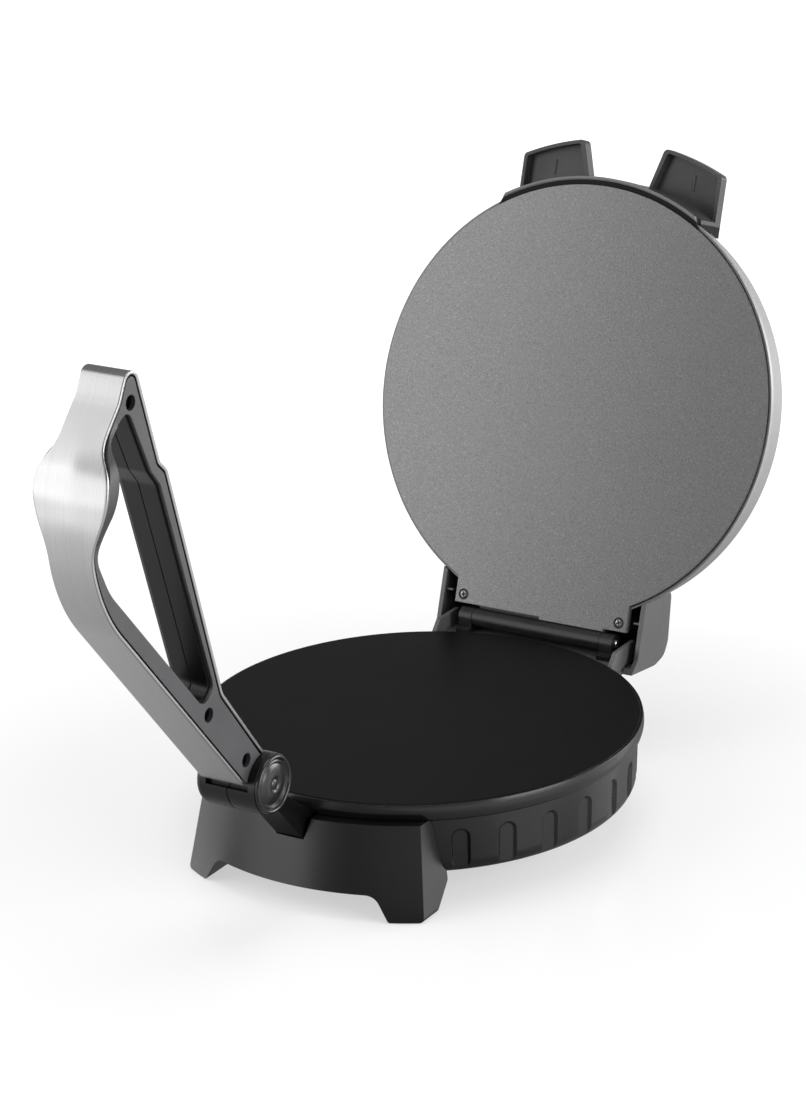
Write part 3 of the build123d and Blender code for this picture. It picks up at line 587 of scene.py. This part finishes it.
# Pressed bare steel sheet: light grey, with handling marks.
SHEET_METAL = PlainMetal("pressed_steel_sheet", "#b0b0b2", "#989899", roughness=0.35)
# Moulded rubber: soft black with a dusty bloom and no shine.
PAD_RUBBER = Rubber("moulded_rubber_pad", "#1a1a1a", "#2a2a2a")

NODE_FINISHES: dict[Finish, tuple[str, ...]] = {
    HOUSING_ABS: ("base_housing", "bottom_cover"),
    CRADLE_ABS: ("front_cradle", "pivot_bracket"),
    TRIM_ABS: ("lid_front_trim",),
    HOOD_ABS: ("lid_hood",),
    TOWER_ABS: ("hinge_tower",),
    COVER_ABS: ("lever_cover_right", "lever_cover_left"),
    CORE_ABS: ("lever_core_right", "lever_core_left"),
    CAP_ABS: ("lever_cap_right", "lever_cap_left"),
    HOT_PLATE: ("cooking_plate",),
    LID_PLATE: ("lid_plate",),
    BAND_METAL: ("lever_band",),
    SHELL_METAL: ("lid_shell",),
    SCREW_METAL: (
        "hinge_pin", "pivot_pin",
        "lever_screw_1", "lever_screw_2", "lever_screw_3", "plate_screw_1", "plate_screw_2", "plate_screw_3",
        "base_screw_1", "base_screw_2", "base_screw_3", "base_screw_4",
    ),
    DARK_SCREW: ("lid_screw_right", "lid_screw_left"),
    LEAF_METAL: ("lid_hinge_leaf", "hinge_bracket_right", "hinge_bracket_left"),
    TUBE_METAL: ("lower_heater", "upper_heater"),
    SHEET_METAL: ("lower_heat_shield", "upper_heat_shield", "thermostat"),
    PAD_RUBBER: (
        "cord_gland", "foot_pad_front_right", "foot_pad_front_left", "foot_pad_rear_right", "foot_pad_rear_left",
    ),
}


def dress(piece: Piece, material: Material) -> None:
    """Give a piece one material all over."""
    piece.data.materials.clear()
    piece.data.materials.append(material)


def dress_nodes() -> dict[str, Material]:
    """Give every CAD node its finish.

    Returns:
        Each finish's material by its name.
    """
    made = {}
    for finish, names in NODE_FINISHES.items():
        made[finish.name] = finish.build()
        for name in names:
            dress(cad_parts[name], made[finish.name])
            log.info("%s: %s", name, finish.name)
    return made


# ---------------------------------------------------------------- modelling
class Side(Enum):
    """Which side of the cooker a paired piece is on."""

    RIGHT = 1
    LEFT = -1


def smoothstep(low: float, high: float, value: float) -> float:
    """Rise softly from 0 at low to 1 at high, or fall that way where low is the greater."""
    t = min(1.0, max(0.0, (value - low) / (high - low)))
    return t * t * (3 - 2 * t)


def finish_mesh(piece: Piece, name: str, angle: float) -> None:
    """Name a piece, settle its place into its mesh, point its faces outwards and smooth it.

    Args:
        piece: the object.
        name: its name.
        angle: the sharpest fold, in degrees, that is still shaded as smooth.
    """
    piece.name = name
    bpy.ops.object.select_all(action="DESELECT")
    piece.select_set(True)
    bpy.context.view_layer.objects.active = piece
    bpy.ops.object.transform_apply(location=True, rotation=True, scale=True)
    bpy.ops.object.mode_set(mode="EDIT")
    bpy.ops.mesh.select_all(action="SELECT")
    bpy.ops.mesh.remove_doubles(threshold=1e-6)
    bpy.ops.mesh.normals_make_consistent(inside=False)
    bpy.ops.object.mode_set(mode="OBJECT")
    bpy.ops.object.shade_smooth_by_angle(angle=math.radians(angle))
    piece.select_set(False)


def apply_modifier(piece: Piece, kind: str, **settings: object) -> None:
    """Add one modifier to a piece, set it and apply it.

    Args:
        piece: the object.
        kind: the modifier's type.
        settings: its settings.
    """
    bpy.context.view_layer.objects.active = piece
    modifier = piece.modifiers.new(kind.lower(), kind)
    for key, value in settings.items():
        setattr(modifier, key, value)
    bpy.ops.object.modifier_apply(modifier=modifier.name)


def turned(profile: tuple[tuple[float, float], ...], segments: int) -> Piece:
    """Turn a closed piece about Z, ring by ring, as on a lathe.

    Args:
        profile: (radius, height) of each ring in millimetres, from the back to the middle of the front.
        segments: how many sides each ring has.

    Returns:
        The piece, still at the origin.
    """
    bpy.ops.object.select_all(action="DESELECT")
    radius, height = profile[0]
    bpy.ops.mesh.primitive_circle_add(
        vertices=segments, radius=radius * MM, fill_type="NGON", location=(0, 0, height * MM)
    )
    piece = bpy.context.active_object
    bpy.ops.object.transform_apply(location=True, rotation=False, scale=False)
    bpy.ops.object.mode_set(mode="EDIT")
    bpy.ops.mesh.select_all(action="SELECT")
    for next_radius, next_height in profile[1:]:
        rise = (0, 0, (next_height - height) * MM)
        bpy.ops.mesh.extrude_region_move(TRANSFORM_OT_translate={"value": rise})
        scale = next_radius / radius
        bpy.ops.transform.resize(value=(scale, scale, 1.0), center_override=(0, 0, next_height * MM))
        radius, height = next_radius, next_height
    bpy.ops.object.mode_set(mode="OBJECT")
    return piece


def face_along(piece: Piece, place: Vector, facing: Vector) -> None:
    """Stand a turned piece at a place with its front towards a direction."""
    piece.rotation_euler = facing.to_track_quat("Z", "Y").to_euler()
    piece.location = place


def node_front(name: str, direction: Vector) -> Vector:
    """Find the front end of a round CAD node's axis.

    Args:
        name: the node.
        direction: the unit direction that the node's front faces.

    Returns:
        The point of the axis that lies furthest along the direction, in metres.
    """
    corners = [vertex.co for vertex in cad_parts[name].data.vertices]
    reach = max(corner.dot(direction) for corner in corners)
    across = [corner - direction * corner.dot(direction) for corner in corners]
    low = Vector([min(corner[axis] for corner in across) for axis in range(3)])
    high = Vector([max(corner[axis] for corner in across) for axis in range(3)])
    return (low + high) / 2 + direction * reach


@dataclass(frozen=True)
class LeverDrawing:
    """The lever's drawing plane: u runs from the pivot along the lever, v across it towards the plates.

    The pivot's place is in millimetres, and the lean is the angle of u above the +Y axis in degrees.
    """

    pivot_y: float = -178.5
    pivot_z: float = 91.95
    lean: float = 111.23

    def point(self, u: float, v: float, x: float) -> Vector:
        """Turn a place in the drawing into one in the frame.

        Args:
            u: millimetres from the pivot along the lever.
            v: millimetres across the lever.
            x: millimetres to the right of the lever's middle.

        Returns:
            The place in the frame in metres.
        """
        turn = math.radians(self.lean)
        y = self.pivot_y + u * math.cos(turn) + v * math.sin(turn)
        z = self.pivot_z + u * math.sin(turn) - v * math.cos(turn)
        return Vector((x, y, z)) * MM

    def place(self, point: Vector) -> tuple[float, float]:
        """Turn a place in the frame into one in the drawing.

        Args:
            point: the place in the frame in metres.

        Returns:
            (u, v) in millimetres.
        """
        turn = math.radians(self.lean)
        y, z = point.y / MM - self.pivot_y, point.z / MM - self.pivot_z
        return y * math.cos(turn) + z * math.sin(turn), y * math.sin(turn) - z * math.cos(turn)


# The largest turn between two places on an arc, in degrees.
ARC_STEP = 5


def rounded_run(
    corners: tuple[tuple[float, float, float], ...], step: float
) -> list[tuple[float, float, float, float]]:
    """Walk along a line of straight runs joined by arcs.

    Args:
        corners: (u, v, radius) of each corner; the first and last are plain ends.
        step: longest distance between two places on the line.

    Returns:
        (u, v, left-hand normal's u, left-hand normal's v) of every place.
    """
    places = []
    start = Vector(corners[0][:2])
    for index in range(1, len(corners)):
        corner = Vector(corners[index][:2])
        ahead = (corner - Vector(corners[index - 1][:2])).normalized()
        last = index == len(corners) - 1
        if not last:
            after = (Vector(corners[index + 1][:2]) - corner).normalized()
            turn = -ahead.angle_signed(after)
            setback = corners[index][2] * math.tan(abs(turn) / 2)
        stop = corner if last else corner - ahead * setback
        count = max(1, math.ceil((stop - start).length / step))
        normal = Vector((-ahead.y, ahead.x))
        places += [(*(start.lerp(stop, k / count)), *normal) for k in range(count + 1)]
        if last:
            break
        side = 1 if turn > 0 else -1
        radius = corners[index][2]
        centre = stop + normal * side * radius
        pieces = max(3, math.ceil(radius * abs(turn) / step), math.ceil(math.degrees(abs(turn)) / ARC_STEP))
        for k in range(1, pieces):
            spun = Matrix.Rotation(turn * k / pieces, 2) @ normal
            places.append((*(centre - spun * side * radius), *spun))
        start = corner + after * setback
    return places


@dataclass
class LeverBand:
    """The bright strip bent round the lever, broader and crowned at the palm.

    Sizes are in millimetres. The corners are (u, v, radius) of the core that the strip is bent round.
    The outer bar is the one that bears the palm, and its v is less than outer_bar.
    """

    material: Material
    drawing: LeverDrawing = field(default_factory=LeverDrawing)
    sheet: float = 1.9
    skin: float = 2.0
    columns: int = 28
    row_step: float = 3.0
    row_gap: float = 0.2
    crown: float = 1.0
    crease: float = 0.01
    edge: float = 0.55
    edge_fold: float = 60.0
    half: float = 13.5
    outer_bar: float = -20.0
    crowned_bar: float = -15.0
    palm_rise: tuple[float, float] = (203.0, 232.0)
    palm_fall: tuple[float, float] = (263.0, 251.0)
    front_end: float = 20.6
    rear_end: float = 17.3
    parting_slope: float = -0.2
    corners: tuple[tuple[float, float, float], ...] = (
        (-6.0, -8.5, 0.0),
        (195.0, -76.3, 85.0),
        (249.2, -46.7, 50.0),
        (265.5, -12.5, 20.0),
        (281.0, 5.2, 4.8),
        (219.0, -0.4, 5.0),
        (211.5, 2.9, 6.0),
        (72.0, -10.8, 15.0),
        (-6.0, 11.0, 0.0),
    )

    def widths(self) -> list[tuple[float, float]]:
        """Read the outer bar's half width along the lever from the CAD strip's edges.

        Returns:
            (place along the lever, half width) pairs in rising order, in millimetres.
        """
        found = []
        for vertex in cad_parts["lever_band"].data.vertices:
            u, v = self.drawing.place(vertex.co)
            if v < self.outer_bar and vertex.co.x / MM > self.half - 0.05:
                found.append((u, vertex.co.x / MM))
        return sorted(found)

    def half_width(self, known: list[tuple[float, float]], u: float, v: float) -> float:
        """Find half the strip's width at a place of the drawing.

        Args:
            known: the outer bar's half widths, as widths() gives them.
            u: the place along the lever.
            v: the place across it.

        Returns:
            The half width in millimetres.
        """
        if v > self.outer_bar or u < known[0][0] or u > known[-1][0]:
            return self.half
        above = next(index for index, pair in enumerate(known) if pair[0] >= u)
        if above == 0:
            return known[0][1]
        (u0, w0), (u1, w1) = known[above - 1], known[above]
        return w0 + (w1 - w0) * (u - u0) / max(u1 - u0, 1e-6)

    def outer_run(self) -> list[tuple[float, float, float, float]]:
        """Walk along the strip's outer skin, from one cut end by the barrel to the other.

        Returns:
            (u, v, left-hand normal's u, left-hand normal's v) of every place.
        """
        run = []
        for u, v, across_u, across_v in rounded_run(self.corners, self.row_step):
            outer_u, outer_v = u - across_u * self.skin, v - across_v * self.skin
            end = self.front_end if v < u * self.parting_slope else self.rear_end
            apart = math.dist((outer_u, outer_v), run[-1][:2]) if run else math.inf
            if math.hypot(outer_u, outer_v) >= end and apart > self.row_gap:
                run.append((outer_u, outer_v, across_u, across_v))
        return run

    def palm_crown(self, u: float, v: float) -> float:
        """Height of the palm's crown at a place of the drawing, in millimetres."""
        raised = smoothstep(*self.palm_rise, u) * smoothstep(*self.palm_fall, u)
        return self.crown * raised if v < self.crowned_bar else 0.0

    def build(self) -> Piece:
        """Lay a grid on the strip's outer skin, crown the palm, and give it thickness and soft edges.

        Returns:
            The strip.
        """
        known = self.widths()
        run = self.outer_run()
        bpy.ops.object.select_all(action="DESELECT")
        bpy.ops.mesh.primitive_grid_add(x_subdivisions=self.columns, y_subdivisions=len(run) - 1, size=0.1)
        piece = bpy.context.active_object
        across = self.columns + 1
        flat = math.sqrt(self.crease)
        for row, (u, v, across_u, across_v) in enumerate(run):
            half = self.half_width(known, u, v)
            crown = self.palm_crown(u, v)
            for column in range(across):
                t = column / self.columns * 2 - 1
                drop = crown * (math.sqrt(t * t + self.crease) - flat) / (math.sqrt(1 + self.crease) - flat)
                place = self.drawing.point(u + across_u * drop, v + across_v * drop, half * t)
                piece.data.vertices[row * across + column].co = place
        apply_modifier(piece, "SOLIDIFY", thickness=self.sheet * MM, offset=-1.0, use_even_offset=True)
        apply_modifier(
            piece, "BEVEL", width=self.edge * MM, segments=3, limit_method="ANGLE",
            angle_limit=math.radians(self.edge_fold),
        )
        finish_mesh(piece, "lever_strip", 40.0)
        dress(piece, self.material)
        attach(piece, "lever")
        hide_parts("lever_band")
        log.info("lever_strip: %d faces", len(piece.data.polygons))
        return piece


@dataclass
class PivotCap:
    """A moulded cap on one end of the lever's barrel: two raised rings and a dimpled boss.

    The profile is (radius, height) in millimetres, from the seat in the barrel to the boss.
    """

    side: Side
    material: Material
    segments: int = 128
    profile: tuple[tuple[float, float], ...] = (
        (11.6, -2.4), (11.6, 0.0), (16.4, 0.0), (16.4, 1.1), (16.25, 1.65), (15.9, 2.1), (15.4, 2.35), (14.9, 2.4),
        (14.4, 2.25), (14.0, 1.9), (13.75, 1.4), (13.5, 1.15), (13.2, 1.2), (12.95, 1.5), (12.65, 1.62), (12.3, 1.5),
        (12.1, 1.15), (11.8, 0.85), (11.4, 0.85), (11.0, 1.1), (10.2, 1.45), (9.0, 1.8), (7.6, 2.08), (6.2, 2.25),
        (5.0, 2.33), (4.2, 2.3), (3.7, 2.1), (3.35, 1.75), (3.0, 1.6), (2.65, 1.7), (2.3, 2.0), (1.8, 2.25),
        (1.1, 2.38), (0.4, 2.4),
    )

    def build(self) -> Piece:
        """Turn the cap and seat it in the barrel.

        Returns:
            The cap.
        """
        facing = Vector((self.side.value, 0, 0))
        node = "lever_cap_" + self.side.name.lower()
        height = max(ring[1] for ring in self.profile)
        piece = turned(self.profile, self.segments)
        face_along(piece, node_front(node, facing) - facing * height * MM, facing)
        finish_mesh(piece, "pivot_cap_" + self.side.name.lower(), 50.0)
        dress(piece, self.material)
        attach(piece, "lever")
        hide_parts(node)
        log.info("%s: %d faces", piece.name, len(piece.data.polygons))
        return piece


@dataclass
class LidScrew:
    """A cross-head screw in the lid plate, with a thin dark ring round its head.

    Both profiles are (radius, height) in millimetres, from the back to the front.
    """

    side: Side
    metal: Material
    rubber: Material
    segments: int = 48
    profile: tuple[tuple[float, float], ...] = (
        (1.4, -14.0), (1.4, -2.0), (2.35, -1.1), (2.4, -0.35), (2.3, -0.1), (2.0, 0.08), (1.4, 0.2), (0.4, 0.24),
    )
    ring: tuple[tuple[float, float], ...] = (
        (3.45, -0.2), (3.5, 0.02), (3.4, 0.14), (2.85, 0.14), (2.65, 0.0), (2.5, -0.3), (0.4, -0.32),
    )
    slot_long: float = 3.2
    slot_wide: float = 0.85
    slot_deep: float = 1.1
    slot_turns: tuple[int, int] = (20, 110)

    def build(self) -> Piece:
        """Turn the head and shank, cut the cross and set the dark ring round it.

        Returns:
            The screw.
        """
        facing = Vector(LID_FACING).normalized()
        node = "lid_screw_" + self.side.name.lower()
        front = node_front(node, facing)
        piece = turned(self.profile, self.segments)
        for turn in self.slot_turns:
            bpy.ops.object.select_all(action="DESELECT")
            bpy.ops.mesh.primitive_cube_add(size=1, rotation=(0, 0, math.radians(turn)))
            cutter = bpy.context.active_object
            cutter.scale = (self.slot_long * MM, self.slot_wide * MM, self.slot_deep * 2 * MM)
            bpy.ops.object.transform_apply(location=True, rotation=True, scale=True)
            apply_modifier(piece, "BOOLEAN", object=cutter, operation="DIFFERENCE", solver="EXACT")
            bpy.data.objects.remove(cutter)
        face_along(piece, front, facing)
        finish_mesh(piece, "cross_screw_" + self.side.name.lower(), 30.0)
        dress(piece, self.metal)
        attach(piece, "lid")
        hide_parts(node)
        log.info("%s: %d faces", piece.name, len(piece.data.polygons))
        ring = turned(self.ring, self.segments)
        face_along(ring, front, facing)
        finish_mesh(ring, "screw_ring_" + self.side.name.lower(), 40.0)
        dress(ring, self.rubber)
        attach(ring, "lid")
        log.info("%s: %d faces", ring.name, len(ring.data.polygons))
        return piece


# ---------------------------------------------------------------- studio
@dataclass
class Softbox:
    """One square area lamp aimed at the cooker: sizes in metres, power in watts."""

    name: str
    place: tuple[float, float, float]
    aim: tuple[float, float, float]
    size: float
    power: float

    def build(self) -> None:
        """Hang the lamp."""
        lamp = bpy.data.lights.new(self.name, "AREA")
        lamp.shape = "SQUARE"
        lamp.size = self.size
        lamp.energy = self.power
        holder = bpy.data.objects.new(self.name, lamp)
        bpy.context.scene.collection.objects.link(holder)
        holder.location = self.place
        look = Vector(self.aim) - Vector(self.place)
        holder.rotation_euler = look.to_track_quat("-Z", "Y").to_euler()


@dataclass
class Studio:
    """Pale floor, soft lamps, an even world and the camera.

    Distances are in metres. The floor glows white to the camera by floor_glow, from near the cooker
    to far from it, over the distances floor_fade. Seen by gloss, it glows only at its two sides: a
    card is the x at which its glow starts, the x at which it is full, and how strong it is then.
    """

    azimuth: float = 32.147
    elevation: float = 20.318
    roll: float = -1.953
    distance: float = 2.1
    focus: tuple[float, float, float] = (-0.0052, -0.0032, 0.1626)
    focal_pixels: float = 3710.7
    sensor: float = 36.0
    clip_start: float = 0.05
    floor_size: float = 40.0
    floor_seen: str = "#f2f2f2"
    floor_cast: str = "#a4a4a4"
    floor_roughness: float = 0.16
    floor_glow: tuple[float, float] = (0.44, 1.0)
    floor_fade: tuple[float, float] = (0.22, 0.75)
    floor_white: float = 1.24
    left_card: tuple[float, float, float] = (0.0, -0.3, 0.85)
    right_card: tuple[float, float, float] = (0.1, 0.32, 1.0)
    world_level: float = 0.28
    lamps: tuple[Softbox, ...] = (
        Softbox("key_softbox", (-0.95, -0.95, 1.2), (0.0, 0.05, 0.12), 0.9, 4.8),
        Softbox("left_softbox", (-2.2, -0.45, 0.6), (0.0, -0.1, 0.15), 1.2, 24.0),
        Softbox("front_softbox", (-1.4, -2.0, 0.5), (0.0, -0.2, 0.15), 1.5, 18.0),
        Softbox("right_softbox", (1.7, -0.1, 0.5), (0.0, 0.0, 0.1), 1.1, 22.0),
        Softbox("rear_right_softbox", (1.3, 1.6, 0.5), (0.0, 0.05, 0.1), 1.1, 24.0),
        Softbox("top_softbox", (0.1, 0.2, 2.0), (0.0, 0.0, 0.0), 1.2, 10.0),
    )

    def camera(self) -> None:
        """Set the camera at its measured place."""
        lens = bpy.data.cameras.new("camera")
        lens.sensor_width = self.sensor
        lens.lens = self.focal_pixels * self.sensor / IMAGE_LONG_SIDE
        lens.clip_start = self.clip_start
        turn = Matrix.Rotation(math.radians(self.azimuth), 4, "Z")
        tilt = Matrix.Rotation(math.radians(90 - self.elevation), 4, "X")
        spin = Matrix.Rotation(math.radians(self.roll), 4, "Z")
        facing = turn @ tilt @ spin
        back = facing.to_3x3() @ Vector((0, 0, self.distance))
        holder = bpy.data.objects.new("camera", lens)
        bpy.context.scene.collection.objects.link(holder)
        holder.matrix_world = Matrix.Translation(Vector(self.focus) + back) @ facing
        bpy.context.scene.camera = holder

    def world(self) -> None:
        """Make the world white to the camera, and a plain even level on the object."""
        world = bpy.data.worlds.new("studio")
        bpy.context.scene.world = world
        world.use_nodes = True
        tree = world.node_tree
        tree.nodes.clear()
        path = add(tree, "LightPath")
        seen = add(
            tree, "Math", {"operation": "MAXIMUM"}, _0=path.outputs["Is Camera Ray"],
            _1=path.outputs["Is Transmission Ray"],
        )
        even = add(tree, "Background", Color=linear("#ffffff"), Strength=self.world_level)
        white = add(tree, "Background", Color=linear("#ffffff"), Strength=1.0)
        mixed = add(tree, "MixShader", _0=seen.outputs[0], _1=even.outputs[0], _2=white.outputs[0])
        add(tree, "OutputWorld", Surface=mixed.outputs[0])

    def floor(self) -> None:
        """Lay a pale satin floor that keeps the cooker's shadow and a faint reflection.

        The colour that it casts on the cooker is greyer than the one that shows, so that its
        bounced light doesn't flatten the black plastics.
        """
        bpy.ops.mesh.primitive_plane_add(size=self.floor_size, location=(0, 0, 0))
        floor = bpy.context.active_object
        floor.name = "floor"
        material = bpy.data.materials.new("pale_satin_acrylic")
        material.use_nodes = True
        tree = material.node_tree
        tree.nodes.clear()
        path = add(tree, "LightPath")
        place = add(tree, "TexCoord").outputs["Object"]
        away = add(tree, "VectorMath", {"operation": "LENGTH"}, _0=place).outputs["Value"]
        fade = add(
            tree, "MapRange", {"interpolation_type": "SMOOTHSTEP"}, Value=away, From_Min=self.floor_fade[0],
            From_Max=self.floor_fade[1], To_Min=self.floor_glow[0], To_Max=self.floor_glow[1],
        )
        glow = add(
            tree, "Math", {"operation": "MULTIPLY"}, _0=path.outputs["Is Camera Ray"], _1=fade.outputs["Result"]
        )
        aside = add(tree, "SeparateXYZ", Vector=place).outputs["X"]
        left, right = (
            add(tree, "MapRange", Value=aside, From_Min=start, From_Max=full, To_Max=level).outputs["Result"]
            for start, full, level in (self.left_card, self.right_card)
        )
        cards = add(tree, "Math", {"operation": "ADD"}, _0=left, _1=right)
        mirrored = add(
            tree, "Math", {"operation": "MULTIPLY"}, _0=path.outputs["Is Glossy Ray"], _1=cards.outputs[0]
        )
        glow = add(tree, "Math", {"operation": "MAXIMUM"}, _0=glow.outputs[0], _1=mirrored.outputs[0])
        paint = add(
            tree, "Mix", {"data_type": "RGBA"}, Factor=path.outputs["Is Camera Ray"],
            _6=linear(self.floor_cast), _7=linear(self.floor_seen),
        )
        body = add(
            tree, "BsdfPrincipled", Base_Color=paint.outputs[2], Roughness=self.floor_roughness, IOR=1.5
        )
        white = add(tree, "Emission", Color=linear("#ffffff"), Strength=self.floor_white)
        mixed = add(tree, "MixShader", _0=glow.outputs[0], _1=body.outputs[0], _2=white.outputs[0])
        add(tree, "OutputMaterial", Surface=mixed.outputs[0])
        dress(floor, material)

    def build(self) -> None:
        """Put the whole studio up."""
        bpy.context.scene.view_settings.view_transform = "Standard"
        self.camera()
        self.world()
        self.floor()
        for lamp in self.lamps:
            lamp.build()


def main() -> None:
    """Dress the cooker, build its finer pieces and set up the studio."""
    bpy.ops.object.select_all(action="DESELECT")
    made = dress_nodes()
    LeverBand(made[BAND_METAL.name]).build()
    for side in Side:
        PivotCap(side, made[CAP_ABS.name]).build()
        LidScrew(side, made[DARK_SCREW.name], made[PAD_RUBBER.name]).build()
    Studio().build()


if __name__ == "__main__":
    main()
